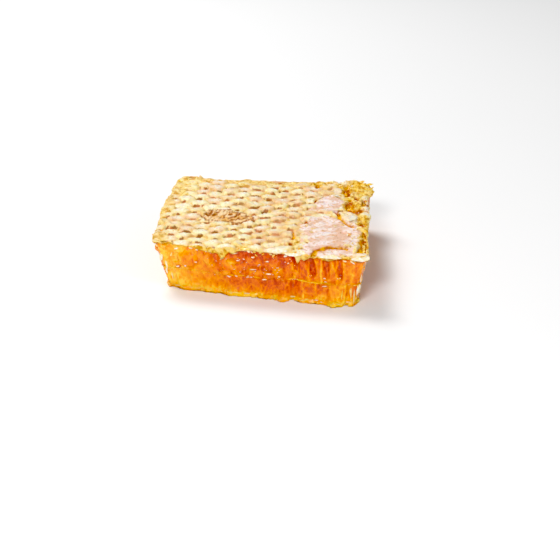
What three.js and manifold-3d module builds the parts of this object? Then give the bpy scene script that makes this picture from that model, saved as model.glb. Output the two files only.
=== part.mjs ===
// A hand-cut block of comb honey, in millimetres, +Z up, resting on its underside.
// From the bottom up it is a wax capping, a layer of honey-filled cells, the wax midrib,
// a second layer of cells staggered by half a cell, and the upper capping with its domed
// cell caps, rubbed, torn and open patches, and a ragged lip that hangs over the cut.
import * as THREE from "three";
import { mergeVertices } from "three/addons/utils/BufferGeometryUtils.js";
import Module from "manifold-3d";

const wasm = await Module();
wasm.setup();

// ---- driving dimensions ----------------------------------------------------------------
const CELL_PITCH = 5.9; // across the flats of one hexagonal cell
const COLUMN_PITCH = (CELL_PITCH * Math.sqrt(3)) / 2; // from one column of cells to the next
const WIDTH = 70.4; // along X, at the top of the cut
const DEPTH_LEFT = 60.4; // along Y, down the left side
const DEPTH_RIGHT = 70.6; // along Y, down the right side
const LEFT_BULGE = 1.2; // how far the middle of the left side stands out

const BOTTOM_CAPPING = 1.3; // thickness of the capping that the block stands on
const LOWER_CELLS = 6.1; // depth of the lower cells
const MIDRIB = 0.6; // thickness of the wax wall between the two layers
const UPPER_CELLS = 8.6; // depth of the upper cells
const CAP_FLOOR = 0.8; // thickness of the upper capping under its domes
const CAP_DOME = 0.7; // height of a domed cell cap

const UNDERCUT = { front: 0.2, right: 2.6, back: 1.5, left: 4.0 }; // draw-in at the base
const CORNER_RADIUS = { top: 2.2, base: 4.5 }; // radii of the worn corners
const FLUTE = 0.38; // depth of the half cells that show along the cut
const WANDER = 0.5; // how far the knife wandered
const MIDRIB_PROUD = 0.25; // the midrib stands out of the cut by this much
const BOTTOM_PROUD = 0.7; // and the lower capping by this much

const LIP_GAP = 0.3; // clearance between the hanging lip and the cells behind it
const LIP_WALL = 0.7; // thickness of the lip
const LIP_DROP = 0.45; // usual drop of the lip below the capping
const TONGUES = [
  { along: 0.33, reach: 0.045, drop: 3.2 }, // the pointed tongue left of the middle
  { along: 0.69, reach: 0.025, drop: 2.5 }, // the narrow one right of the middle
]; // where the lip hangs lower, as shares of the front

// Patches of the upper capping, as ellipses about the middle of the block.
const RUBBED_PATCHES = [
  { x: 23, y: -13, rx: 11, ry: 17 },
  { x: 20, y: 12, rx: 6, ry: 7 },
];
const TORN_PATCHES = [
  { x: -13.5, y: -4, rx: 9, ry: 8 },
  { x: 32, y: 16, rx: 5, ry: 9 },
];
const RUBBED_HEIGHT = 0.3; // height of a rubbed cap, as a share of a whole one
const TORN_DEPTH = 0.5; // depth of a torn cell, as a share of a whole cap

const SIDE_STEPS = 56; // points along each side of a layer
const RIM_STEPS = 36; // points along each side of the upper capping
const SHOULDER = 0.62; // radius of a cap's shoulder, as a share of the cell's

// ---- levels ----------------------------------------------------------------------------
const Z_LOWER = BOTTOM_CAPPING;
const Z_MIDRIB = Z_LOWER + LOWER_CELLS;
const Z_UPPER = Z_MIDRIB + MIDRIB;
const Z_CAPPING = Z_UPPER + UPPER_CELLS;
const Z_GROOVE = Z_CAPPING + CAP_FLOOR;

// ---- outline ---------------------------------------------------------------------------
// The four corners of the cut at a height, anticlockwise from the front left.
function cornersAt(low) {
  const { front, right, back, left } = UNDERCUT;
  const edge = WIDTH / 2;
  const rear = DEPTH_RIGHT / 2;
  return [
    [-edge + left * low, rear - DEPTH_LEFT + front * low],
    [edge - right * low, rear - DEPTH_RIGHT + front * low],
    [edge - right * low, rear - back * low],
    [-edge + left * low, rear - back * low],
  ];
}

// Smooth unevenness between -1 and 1 that repeats once round the outline.
function wander(turn, seed) {
  const a = 2 * Math.PI * turn;
  const long = Math.sin(5 * a + seed);
  const middle = Math.sin(11 * a + 2.1 * seed);
  const short = Math.sin(23 * a + 4.7 * seed);
  return 0.5 * long + 0.3 * middle + 0.2 * short;
}

// The outline at a height as a list of { x, y, side, t }. grow moves it outwards. shift
// says where the half cells fall, as a share of a cell, and null gives a plain edge.
function outline(z, { grow = 0, shift = null, seed = 1, steps = SIDE_STEPS } = {}) {
  const low = 1 - z / Z_CAPPING;
  const corners = cornersAt(low);
  const radius = CORNER_RADIUS.top + (CORNER_RADIUS.base - CORNER_RADIUS.top) * low;
  const spared = radius * (1 - Math.SQRT1_2); // each side ends half way round its corners
  const points = [];
  corners.forEach((from, side) => {
    const to = corners[(side + 1) % corners.length];
    const run = [to[0] - from[0], to[1] - from[1]];
    const length = Math.hypot(...run);
    const out = [run[1] / length, -run[0] / length];
    const cells = Math.round(length / COLUMN_PITCH);
    for (let i = 0; i < steps; i++) {
      const t = (i + 0.5) / steps;
      const along = spared + t * (length - 2 * spared);
      const shy = Math.max(0, radius - Math.min(along, length - along));
      const worn = radius - Math.sqrt(radius * radius - shy * shy);
      const wall = Math.abs(Math.sin(Math.PI * (cells * t + shift)));
      const groove = shift === null ? 0 : FLUTE * wall;
      const bulge = side === 3 ? LEFT_BULGE * Math.sin(Math.PI * t) : 0;
      const uneven = WANDER * wander((side + t) / corners.length, seed);
      const d = grow + bulge + uneven - groove - worn;
      points.push({
        x: from[0] + (run[0] * along) / length + out[0] * d,
        y: from[1] + (run[1] * along) / length + out[1] * d,
        side,
        t,
      });
    }
  });
  return points;
}

// ---- solids ----------------------------------------------------------------------------
function geometryOf(positions, index) {
  const geometry = new THREE.BufferGeometry();
  geometry.setAttribute("position", new THREE.Float32BufferAttribute(positions, 3));
  geometry.setIndex(index);
  return geometry;
}

const ringAt = (points, z) => points.map((p) => [p.x, p.y, typeof z === "function" ? z(p) : z]);

// A closed body through a stack of rings, each a list of [x, y, z] of the same length,
// with a flat cap on the first and the last, fanned out from its middle.
function loft(rings) {
  const count = rings[0].length;
  const low = rings.length * count;
  const high = low + 1;
  const index = [];
  for (let i = 0; i < count; i++) {
    const next = (i + 1) % count;
    for (let r = 0; r + 1 < rings.length; r++) {
      const a = r * count + i;
      const b = r * count + next;
      index.push(a, b, b + count, a, b + count, a + count);
    }
    index.push(low, next, i);
    index.push(high, low - count + i, low - count + next);
  }
  const middles = [rings[0], rings.at(-1)].map((ring) => [0, 0, ring[0][2]]);
  return geometryOf([...rings.flat(), ...middles].flat(), index);
}

// A closed hoop round the outline, from rings that go round its section in order.
function hoop(rings) {
  const count = rings[0].length;
  const index = [];
  rings.forEach((_, r) => {
    const here = r * count;
    const there = ((r + 1) % rings.length) * count;
    for (let i = 0; i < count; i++) {
      const next = (i + 1) % count;
      index.push(here + i, here + next, there + next, here + i, there + next, there + i);
    }
  });
  return geometryOf(rings.flat(2), index);
}

function solidOf(geometry) {
  const merged = mergeVertices(geometry, 1e-4);
  const vertProperties = merged.attributes.position.array;
  const triVerts = new Uint32Array(merged.index.array);
  return new wasm.Manifold(new wasm.Mesh({ numProp: 3, vertProperties, triVerts }));
}

function geometryFrom(solid) {
  const { numVert, numProp, vertProperties, triVerts } = solid.getMesh();
  const positions = [];
  for (let i = 0; i < numVert; i++)
    positions.push(...vertProperties.slice(i * numProp, i * numProp + 3));
  return geometryOf(positions, Array.from(triVerts));
}

// ---- the upper capping -----------------------------------------------------------------
// A repeatable number from 0 to 1 for a cell.
function chance(column, row) {
  const s = Math.sin(column * 12.9898 + row * 78.233) * 43758.5453;
  return s - Math.floor(s);
}

const isIn = (patches, x, y) =>
  patches.some((p) => Math.hypot((x - p.x) / p.rx, (y - p.y) / p.ry) < 1);

// The height of a cap's crown above the groove round it.
function crown(column, row, x, y) {
  const whole = CAP_DOME * (0.75 + 0.25 * chance(column, row));
  if (isIn(RUBBED_PATCHES, x, y)) return RUBBED_HEIGHT * whole;
  if (isIn(TORN_PATCHES, x, y)) return -TORN_DEPTH * whole;
  return whole;
}

// A sheet of hexagonal caps, wider than the block and reaching down past the cut.
function cappingSheet() {
  const zBase = Z_CAPPING - CAP_FLOOR;
  const radius = CELL_PITCH / Math.sqrt(3);
  const columns = Math.ceil(WIDTH / 2 / COLUMN_PITCH) + 1;
  const rows = Math.ceil(DEPTH_RIGHT / 2 / CELL_PITCH) + 1;
  const positions = [];
  const index = [];
  const numbers = new Map();
  const rims = new Map();
  const vertex = (x, y, z) => {
    const key = [x, y, z].map((v) => Math.round(v * 1e4)).join();
    if (!numbers.has(key)) numbers.set(key, positions.push(x, y, z) / 3 - 1);
    return numbers.get(key);
  };
  for (let column = -columns; column <= columns; column++)
    for (let row = -rows; row <= rows; row++) {
      const x = column * COLUMN_PITCH;
      const y = (row + (column % 2 ? 0.5 : 0)) * CELL_PITCH;
      const height = crown(column, row, x, y);
      const corner = (share, k, z) => {
        const angle = (k * Math.PI) / 3;
        const reach = share * radius;
        return vertex(x + reach * Math.cos(angle), y + reach * Math.sin(angle), z);
      };
      const middle = vertex(x, y, Z_GROOVE + height);
      const under = vertex(x, y, zBase);
      for (let k = 0; k < 6; k++) {
        const inner = corner(SHOULDER, k, Z_GROOVE + 0.8 * height);
        const innerNext = corner(SHOULDER, k + 1, Z_GROOVE + 0.8 * height);
        const rim = corner(1, k, Z_GROOVE);
        const rimNext = corner(1, k + 1, Z_GROOVE);
        const foot = corner(1, k, zBase);
        const footNext = corner(1, k + 1, zBase);
        index.push(middle, inner, innerNext);
        index.push(inner, rim, rimNext, inner, rimNext, innerNext);
        index.push(under, footNext, foot);
        rims.set(rim + "," + rimNext, [rim, rimNext, foot, footNext]);
      }
    }
  // The sheet's own edge, wherever a cell has no neighbour.
  for (const [rim, rimNext, foot, footNext] of rims.values())
    if (!rims.has(rimNext + "," + rim)) index.push(rim, foot, footNext, rim, footNext, rimNext);
  return solidOf(geometryOf(positions, index));
}

// How far the lip hangs below the capping at a point of the outline.
function lipDrop({ side, t }) {
  const usual = LIP_DROP * (1 + 0.6 * wander((side + t) / 4, 9));
  if (side !== 0) return usual;
  const pull = ({ along, reach, drop }) => drop * Math.exp(-(((t - along) / reach) ** 2));
  return TONGUES.reduce((sum, tongue) => sum + pull(tongue), usual);
}

// ---- the five pieces -------------------------------------------------------------------
// A capping or the midrib: a sheet with a plain edge that stands out of the cut.
function waxSheet(zLow, zHigh, grow, seed) {
  const edge = (z) => ringAt(outline(zLow, { grow, seed }), z);
  return loft([edge(zLow), edge(zHigh)]);
}

// A layer of filled cells, cut open down its sides.
function cellLayer(zLow, zHigh, shift) {
  const levels = [zLow, (zLow + zHigh) / 2, zHigh];
  return loft(levels.map((z) => ringAt(outline(z, { shift }), z)));
}

// The sheet of caps, trimmed to a ragged edge and joined to the lip.
function topCapping() {
  const at = (grow) => outline(Z_CAPPING, { grow, steps: RIM_STEPS });
  const inner = at(LIP_GAP);
  const outer = at(LIP_GAP + LIP_WALL);
  const trim = loft([ringAt(outer, Z_CAPPING), ringAt(outer, Z_GROOVE + 2 * CAP_DOME)]);
  const drop = (p) => Z_CAPPING - lipDrop(p);
  const bound = Z_CAPPING + CAP_FLOOR / 2;
  const lip = hoop([
    ringAt(inner, drop),
    ringAt(outer, drop),
    ringAt(outer, bound),
    ringAt(inner, bound),
  ]);
  return geometryFrom(cappingSheet().intersect(solidOf(trim)).add(solidOf(lip)));
}

// ---- materials and assembly ------------------------------------------------------------
const paleWax = new THREE.MeshStandardMaterial({ color: 0xf2e2b4, roughness: 0.5, metalness: 0 });
const yellowWax = new THREE.MeshStandardMaterial({ color: 0xf0b428, roughness: 0.4, metalness: 0 });
const honey = new THREE.MeshStandardMaterial({ color: 0xe07a06, roughness: 0.12, metalness: 0 });

const block = new THREE.Group();
function addPiece(name, geometry, material) {
  const mesh = new THREE.Mesh(geometry, material);
  mesh.name = name;
  block.add(mesh);
}

addPiece("bottom_capping", waxSheet(0, Z_LOWER, BOTTOM_PROUD, 6), yellowWax);
addPiece("lower_cells", cellLayer(Z_LOWER, Z_MIDRIB, 0), honey);
addPiece("midrib", waxSheet(Z_MIDRIB, Z_UPPER, MIDRIB_PROUD, 3), yellowWax);
addPiece("upper_cells", cellLayer(Z_UPPER, Z_CAPPING, 0.5), honey);
addPiece("top_capping", topCapping(), paleWax);

// The origin is the middle of the block's box, at its underside.
const box = new THREE.Box3().setFromObject(block);
block.position.set(-(box.min.x + box.max.x) / 2, -(box.min.y + box.max.y) / 2, -box.min.z);

export default block;
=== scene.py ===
import math

import bpy
import numpy as np
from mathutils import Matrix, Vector


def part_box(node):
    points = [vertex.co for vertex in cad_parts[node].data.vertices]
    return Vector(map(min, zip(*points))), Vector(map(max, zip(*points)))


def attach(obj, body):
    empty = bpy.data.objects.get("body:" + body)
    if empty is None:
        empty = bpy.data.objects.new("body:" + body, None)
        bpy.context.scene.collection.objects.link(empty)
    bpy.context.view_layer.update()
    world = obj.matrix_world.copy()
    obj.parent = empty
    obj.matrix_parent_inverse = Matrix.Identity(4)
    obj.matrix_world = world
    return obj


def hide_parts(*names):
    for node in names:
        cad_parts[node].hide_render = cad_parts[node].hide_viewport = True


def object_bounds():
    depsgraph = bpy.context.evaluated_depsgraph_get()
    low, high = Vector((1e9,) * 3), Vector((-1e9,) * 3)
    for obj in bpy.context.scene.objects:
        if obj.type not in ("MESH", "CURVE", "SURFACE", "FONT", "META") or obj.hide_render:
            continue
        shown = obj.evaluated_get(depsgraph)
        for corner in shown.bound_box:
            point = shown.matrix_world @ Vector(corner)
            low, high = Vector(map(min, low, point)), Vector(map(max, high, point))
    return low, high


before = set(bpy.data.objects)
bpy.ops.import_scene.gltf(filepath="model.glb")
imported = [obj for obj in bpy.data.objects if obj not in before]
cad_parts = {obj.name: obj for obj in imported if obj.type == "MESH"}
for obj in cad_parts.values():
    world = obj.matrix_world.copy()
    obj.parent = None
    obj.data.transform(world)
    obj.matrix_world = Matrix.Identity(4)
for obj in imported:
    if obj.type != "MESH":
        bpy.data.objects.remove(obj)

CAD_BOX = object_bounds()

# A block of comb honey. Its shapes are worked out in millimetres, in the part's own frame, and
# mesh_piece() turns them into metres. "Out" is always away from the block, level with the
# floor, and a place along a cut is measured from that cut's own start: front from the left,
# right side from the front, back from the right, left side from the back. Masks go from 0 to 1
# and reach the materials as colours of the vertices, called marks, relief and tone.
MM = 0.001
SEED = 11

# ---- sizes -----------------------------------------------------------------------------
(X0, Y0, _), (X1, Y1, _) = np.array(CAD_BOX) / MM
Z_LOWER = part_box("lower_cells")[0][2] / MM
Z_MIDRIB = (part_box("midrib")[0][2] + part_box("midrib")[1][2]) / 2 / MM
Z_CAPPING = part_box("upper_cells")[1][2] / MM
Z_GROOVE = Z_CAPPING + 0.65  # the level of the creases between the caps

SKEW = 10.4  # the left end of the front lies this much further back than the right end
MARGIN = {"left": 1.3, "right": 0.8, "back": 0.9, "front": 0.9}  # from the box in to the cut
INSET = {"left": 3.9, "right": 2.7, "back": 1.5, "front": 0.0}  # draw-in of the cut at the base
CORNER = 1.5  # how softly the corners are rounded
OVERHANG = 0.3  # the capping's edge stands out of the cut by this much
ROOF_INSET = 2.6  # this far in from the cut, what lies under the capping is sunk
SUNK = 3.4  # by this much, which leaves room for the open cells

CELL = 6.05  # cell pitch from front to back
COLUMN = 5.05  # pitch from one column of cells to the next
TURN = math.radians(-1.7)  # how far the columns are turned from the block's own axes
FRONT_CELLS = 14.25  # cells along the front cut

SIDES = ("front", "right", "back", "left")

# How many are scattered at random.
SMALL_GOBS = 16  # gobs of honey along the front's middle
SIDE_GOBS = 22  # gobs on each other side
SIDE_BEADS = 40  # beads on each side
LYING_FLAKES = 70  # flakes that lie on the capping


# ---- noise and small helpers -----------------------------------------------------------
def smooth(low, high, value):
    """0 below low, 1 above high, and a smooth step between them."""
    t = np.clip((value - low) / (high - low), 0, 1)
    return t * t * (3 - 2 * t)


def scramble(*numbers):
    """A repeatable random number from 0 to 1 for each set of whole numbers, by hashing them."""
    h = np.uint32(2166136261)
    for n in numbers:
        h = (h ^ (np.asarray(n, dtype=np.int64) & 0xFFFFFFFF).astype(np.uint32)) * np.uint32(16777619)
        h = (h ^ (h >> np.uint32(15))) * np.uint32(2246822519)
    h = h ^ (h >> np.uint32(13))
    return h.astype(np.float64) / 2**32


def noise(points, size, seed):
    """Smooth noise from about -1 to 1 at (..., 3) points, with features of the given size."""
    p = np.asarray(points) / size + 17.3 * seed
    cell = np.floor(p).astype(np.int64)
    f = p - cell
    w = f * f * f * (f * (f * 6 - 15) + 10)
    total = 0
    for corner in np.ndindex(2, 2, 2):
        c = cell + corner
        spin = 2 * math.pi * scramble(c[..., 0], c[..., 1], c[..., 2], seed)
        rise = 2 * scramble(c[..., 2], c[..., 0], c[..., 1], seed + 91) - 1
        flat = np.sqrt(1 - rise * rise)
        d = f - corner
        slope = d[..., 0] * np.cos(spin) * flat + d[..., 1] * np.sin(spin) * flat + d[..., 2] * rise
        near = np.prod([w[..., i] if corner[i] else 1 - w[..., i] for i in range(3)], axis=0)
        total = total + near * slope
    return 1.6 * total


def fractal(points, size, seed, octaves=3):
    """Noise with finer noise added to it."""
    return sum(noise(points, size / 2**i, seed + i) / 2**i for i in range(octaves))


def bump(distance, reach):
    """A soft bump, 1 at no distance."""
    return np.exp(-((distance / reach) ** 2))


def mix(a, b, t):
    """a where t is 0, b where it is 1."""
    return a + (b - a) * t


def in_plane(xy):
    """Points at height 0, as noise() takes them."""
    return np.column_stack([xy, np.zeros(len(xy))])


def drift(points, size, seed):
    """Smooth sideways wander for points, from about -1 to 1 each way."""
    return np.column_stack([noise(points, size, seed), noise(points, size, seed + 1)])


# ---- meshes ----------------------------------------------------------------------------
def numbered(rows, columns, start=0):
    """A grid of vertex numbers."""
    return start + np.arange(rows * columns).reshape(rows, columns)


def grid_faces(number):
    """Quads over a grid of vertex numbers."""
    low, high = number[:-1], number[1:]
    return np.stack([low[:, :-1], low[:, 1:], high[:, 1:], high[:, :-1]], axis=-1).reshape(-1, 4)


def belt_faces(rows):
    """Quads between stacked rings of vertex numbers, all of one length, wound to face out."""
    rows = np.asarray(rows)
    low, high = rows[:-1], rows[1:]
    return np.stack(
        [low, np.roll(low, -1, axis=1), np.roll(high, -1, axis=1), high], axis=-1
    ).reshape(-1, 4)


def fan_faces(ring, middle):
    """Triangles from a ring of vertex numbers to one in its middle."""
    ring = np.asarray(ring)
    return np.stack([ring, np.roll(ring, -1), np.full(len(ring), middle)], axis=-1)


def mesh_piece(name, vertices, faces, material, replaces=(), masks=None):
    """A smooth-shaded piece that rides on the block. masks is {attribute name: (n, 4) array}."""
    mesh = bpy.data.meshes.new(name)
    polygons = [face for part in faces for face in part.tolist()]
    mesh.from_pydata((np.asarray(vertices) * MM).tolist(), [], polygons)
    mesh.polygons.foreach_set("use_smooth", np.ones(len(mesh.polygons), dtype=bool))
    for mask, values in (masks or {}).items():
        layer = mesh.attributes.new(mask, "FLOAT_COLOR", "POINT")
        layer.data.foreach_set("color", np.clip(values, 0, 1).astype(np.float32).ravel())
    mesh.update()
    piece = bpy.data.objects.new(name, mesh)
    bpy.context.collection.objects.link(piece)
    mesh.materials.append(material)
    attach(piece, "root")
    if replaces:
        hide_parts(*replaces)


# ---- the outline of the block ----------------------------------------------------------
def corners(low):
    """The cut's corners, anticlockwise from the front left; low is 0 at the top, 1 at the base."""
    left = X0 + MARGIN["left"] + INSET["left"] * low
    right = X1 - MARGIN["right"] - INSET["right"] * low
    front = Y0 + MARGIN["front"] + INSET["front"] * low
    back = Y1 - MARGIN["back"] - INSET["back"] * low
    return np.array([(left, front + SKEW), (right, front), (right - 0.4, back), (left + 0.3, back)])


LENGTHS = np.linalg.norm(np.roll(corners(0), -1, axis=0) - corners(0), axis=1)

# Where the cut stands out, or in where negative: (side, place along it, how much, reach).
TOP_BUMPS = (
    ("right", 64.0, 1.9, 4.0), ("right", 57.0, -0.6, 3.0), ("right", 36.0, 0.6, 5.0),
    ("left", 30.0, 1.2, 17.0), ("left", 9.0, 0.7, 4.0), ("front", 49.0, -0.5, 2.0),
)
BASE_BUMPS = (
    ("front", 3.0, -1.4, 3.0), ("front", 25.5, 1.3, 3.5), ("front", 38.0, 1.0, 5.0),
    ("front", 45.0, 1.9, 2.0), ("front", 48.5, -1.3, 1.2), ("front", 52.0, 1.1, 2.0),
    ("front", 56.5, 1.2, 2.5), ("front", 64.5, 2.3, 4.0), ("front", 68.6, -0.9, 0.8),
    ("front", 71.0, 0.8, 1.4),
)


def outline(low, spacing, rough=1.0):
    """A closed loop of points round the block: xy, side number and place along the side."""
    marks = corners(low)
    counts = np.array([round(max(LENGTHS[s], LENGTHS[(s + 2) % 4]) / spacing) for s in range(4)])
    side = np.repeat(np.arange(4), counts)
    t = np.concatenate([np.arange(n) / n for n in counts])
    xy = mix(marks[side], marks[(side + 1) % 4], t[:, None])
    width = CORNER * (1 + low) / spacing
    reach = np.arange(-int(4 * width), int(4 * width) + 1)
    weights = bump(reach, 1.4 * width)
    xy = sum(w * np.roll(xy, -r, axis=0) for r, w in zip(reach, weights / weights.sum()))
    along = t * LENGTHS[side]
    p = np.column_stack([xy, np.full(len(xy), 9.0 * low)])
    shift = rough * (0.55 * noise(p, 9, 3) + 0.3 * noise(p, 3.2, 4) + 0.14 * noise(p, 1.2, 5))
    for name, place, amount, spread in BASE_BUMPS if low else TOP_BUMPS:
        shift = shift + amount * (side == SIDES.index(name)) * bump(along - place, spread)
    return xy + outward(xy) * shift[:, None], side, along


def outward(xy):
    """Unit normals of a closed anticlockwise loop of points."""
    run = np.roll(xy, -3, axis=0) - np.roll(xy, 3, axis=0)
    normal = np.column_stack([run[:, 1], -run[:, 0]])
    return normal / np.linalg.norm(normal, axis=1)[:, None]


def sheet_between(loop, side):
    """A grid stretched between the four sides of a closed loop.

    Gives its xy, its vertex numbers, those along its border, and each one's steps to the border.
    """
    wide, deep = np.sum(side == 0), np.sum(side == 1)
    ends = np.vstack([loop, loop[:1]])
    front = ends[: wide + 1]
    right = ends[wide : wide + deep + 1]
    back = ends[wide + deep : 2 * wide + deep + 1][::-1]
    left = ends[2 * wide + deep :][::-1]
    u = np.linspace(0, 1, wide + 1)[None, :, None]
    v = np.linspace(0, 1, deep + 1)[:, None, None]
    across = mix(front[None], back[None], v)
    up = mix(left[:, None], right[:, None], u)
    flat = mix(mix(front[0], front[-1], u), mix(back[0], back[-1], u), v)
    xy = (across + up - flat).reshape(-1, 2)
    number = numbered(deep + 1, wide + 1)
    border = np.concatenate([number[0, :-1], number[:-1, -1], number[-1, :0:-1], number[:0:-1, 0]])
    steps = np.minimum(np.minimum(u, 1 - u) * wide, np.minimum(v, 1 - v) * deep)
    return xy, number, border, steps.ravel()


# ---- the capping's top surface ---------------------------------------------------------
def cell_centres():
    """Middles of the cells, a little jittered."""
    columns = int((X1 - X0) / COLUMN / 2) + 3
    rows = int((Y1 - Y0) / CELL / 2) + 3
    i, j = np.meshgrid(np.arange(-columns, columns + 1), np.arange(-rows, rows + 1), indexing="ij")
    i, j = i.ravel(), j.ravel()
    x = i * COLUMN + 0.2
    y = (j + 0.5 * (i % 2)) * CELL + 0.9
    cos, sin = math.cos(TURN), math.sin(TURN)
    xy = np.column_stack([x * cos - y * sin, x * sin + y * cos])
    jitter = np.column_stack([scramble(i, j, 1), scramble(i, j, 2)]) - 0.5
    return xy + 0.9 * jitter + 0.9 * drift(in_plane(xy), 26, 6)


def cell_map(xy):
    """Where each point lies among the cells, as a dictionary of arrays."""
    centres = cell_centres()
    nearest = np.empty((len(xy), 3))
    order = np.empty((len(xy), 3), dtype=int)
    batch = 8192  # points at a time, to keep the tables of distances small
    for start in range(0, len(xy), batch):
        part = slice(start, start + batch)
        gap = np.linalg.norm(xy[part, None] - centres[None], axis=2)
        close = np.argpartition(gap, 3, axis=1)[:, :3]
        found = np.take_along_axis(gap, close, axis=1)
        rank = np.argsort(found, axis=1)
        nearest[part] = np.take_along_axis(found, rank, axis=1)
        order[part] = np.take_along_axis(close, rank, axis=1)
    offset = xy - centres[order[:, 0]]
    return {
        "cell": order[:, 0],
        "pair": (order[:, :2].min(axis=1), order[:, :2].max(axis=1)),
        "offset": offset,
        "middle": nearest[:, 0],
        "border": (nearest[:, 1] - nearest[:, 0]) / 2,  # distance from the crease to the next cell
        "joint": (nearest[:, 2] - nearest[:, 0]) / 2,  # small where three cells meet
        "ahead": np.abs(offset[:, 1]) / (nearest[:, 0] + 1e-6),  # 1 straight in front or behind
    }


def patch(xy, x, y, rx, ry, turn=0.0, ragged=0.25, soft=0.25, seed=1):
    """1 inside an ellipse of half-axes rx and ry with a ragged edge, 0 outside."""
    a = math.radians(turn)
    dx, dy = xy[:, 0] - x, xy[:, 1] - y
    u = (dx * math.cos(a) + dy * math.sin(a)) / rx
    v = (dy * math.cos(a) - dx * math.sin(a)) / ry
    away = np.hypot(u, v)
    near = away < 1 + soft + 2.5 * ragged
    torn_edge = ragged * fractal(in_plane(xy[near]), 4, 40 + seed)
    inside = np.zeros(len(xy))
    inside[near] = 1 - smooth(1 - soft, 1 + soft, away[near] + torn_edge)
    return inside


def any_patch(xy, patches, **how):
    """1 inside any of a table's patches."""
    return np.max([patch(xy, *p, seed=k, **how) for k, p in enumerate(patches)], axis=0)


def stroke(xy, points, width, seed=1, wobble=0.5):
    """1 along a line through a few points, falling to 0 at its width."""
    ends = np.array(points)
    reach = 3 * width + 2 * wobble
    near = np.all((xy > ends.min(axis=0) - reach) & (xy < ends.max(axis=0) + reach), axis=1)
    moved = xy[near] + wobble * drift(in_plane(xy[near]), 3, 60 + seed)
    best = np.full(len(moved), 1e9)
    for a, b in zip(ends[:-1], ends[1:]):
        t = np.clip((moved - a) @ (b - a) / ((b - a) @ (b - a)), 0, 1)
        best = np.minimum(best, np.linalg.norm(moved - a - t[:, None] * (b - a), axis=1))
    along = np.zeros(len(xy))
    along[near] = bump(best, width)
    return along


# Worn places of the capping: (x, y, half width, half depth, turn in degrees).
SMEARED = (
    (23.5, -17, 8.5, 12, 8), (19.5, -7, 4.0, 7, -10), (22.5, 12, 5.0, 7.5, -15),
    (27, -9, 6, 7, 20), (20.0, -29, 4.5, 6, 0), (28.5, -30, 4.5, 3.5, 0),
    (31.5, -18, 2.5, 7, 0),
)
TORN = ((-15.5, -1.5, 7.0, 5.2, -12), (-8.8, -3.8, 4.2, 4.4, 0))
ROSY = (
    (7, -20, 5, 7, 0), (2.5, 12, 2.2, 4, 0), (11.5, 13, 2.6, 4, 0), (7, -6, 2.5, 6, 0),
    (22, 25, 3, 4, 0), (-33, -9, 2.5, 3.5, 0), (12, -3, 2.4, 5, 0), (-14, 22, 2.2, 3.5, 0),
    (9, 31, 4, 2.4, 0), (-2, -17, 2.4, 3, 0), (16, 4, 3, 5, 0), (-26, -12, 2.4, 2.6, 0),
    (-8, 9, 2.4, 3, 0), (8, 20, 3, 3, 0), (13, -14, 3, 6, 0),
)
TAN = (
    (-5.5, 32.5, 3.2, 5.5, 10), (-9, 33.5, 4, 1.6, -15), (5, 35.2, 7, 1.0, 4),
)
YELLOW = (
    (33, 30, 6, 7, 0), (-33, 28, 5, 10, 0), (-8, 33.5, 24, 2.6, -2), (-36, 8, 2.2, 20, 0),
    (17.5, 33, 4, 3.5, 0), (35.5, -14, 2.2, 14, 0), (-34, -21, 3.4, 4, 0), (-20, 34, 8, 2.0, 0),
    (4.6, 10.6, 1.4, 1.8, 0), (6.2, 4.4, 1.5, 1.6, 0), (34.4, -3, 2.0, 5, 0),
    (31, 14, 3.2, 9, 0), (-4.5, -28.4, 3.5, 1.6, -8), (-10.5, 29.4, 2.6, 1.2, 0),
    (11.6, -24.5, 2.0, 3.4, 0), (26.5, 27, 1.4, 5, 0),
)
LIFTED = (
    (30.3, -0.8, 2.5, 4.9, 8), (34.4, -34.0, 2.3, 1.3, 5), (6.5, -30.6, 2.9, 0.9, -4),
    (24.6, 26.0, 1.8, 2.6, 0),
)
OPEN_CELLS = (
    (28.4, 26.5, 1.4, 4.5, 4), (29.8, 11.0, 1.6, 6.0, -3), (32.2, 6.5, 2.6, 2.2, 0),
    (25.1, 3.6, 1.0, 2.2, 10), (34.6, -6.0, 0.9, 3.0, 0), (35.0, -15, 0.8, 3.0, 0),
    (35.0, -23, 1.1, 3.4, 0), (34.6, -29, 1.3, 3.4, 0), (14.9, -6.4, 0.9, 2.4, 0),
    (10.6, -25.0, 0.9, 1.6, 0), (34.8, 15, 0.7, 4.4, 0), (-32.8, -27.6, 0.9, 1.2, 0),
    (32.0, 19, 0.9, 3.0, 10), (13.8, -29.5, 0.6, 1.2, 0), (30.0, -16.2, 0.55, 1.3, 0),
    (21.4, -23.4, 0.5, 0.6, 0), (-10.4, -26.0, 0.5, 0.8, 0), (17.2, 31.0, 0.8, 2.2, 0),
    (5.0, 30.0, 0.6, 1.4, 0),
)
# Cracks in the capping: (width, the points that each runs through).
CRACKS = (
    (0.85, (18.2, -33.6), (19.6, -30.4), (22.2, -28.2), (25.6, -27.3), (29.6, -28.0)),
    (0.6, (25.4, 3.6), (26.6, -1.5), (28.6, -5.8), (31.2, -9.4)),
    (0.35, (16.4, 12.6), (17.8, 16.8), (20.6, 20.0), (24.0, 19.4)),
    (0.45, (-6.0, -25.4), (-2.4, -26.2), (1.8, -27.6)),
    (0.3, (-35.4, -15.2), (-31.6, -15.6), (-28.5, -14.6)),
    (0.4, (-1.6, 33.6), (2.5, 34.2), (7.0, 35.6), (11.5, 36.8)),
    (0.4, (12.6, -32.0), (14.2, -34.6)),
    (0.4, (28.0, -15.0), (30.4, -15.2), (32.4, -15.8)),
    (0.35, (10.6, -14.0), (11.6, -19.0), (10.8, -22.0)),
)
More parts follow.
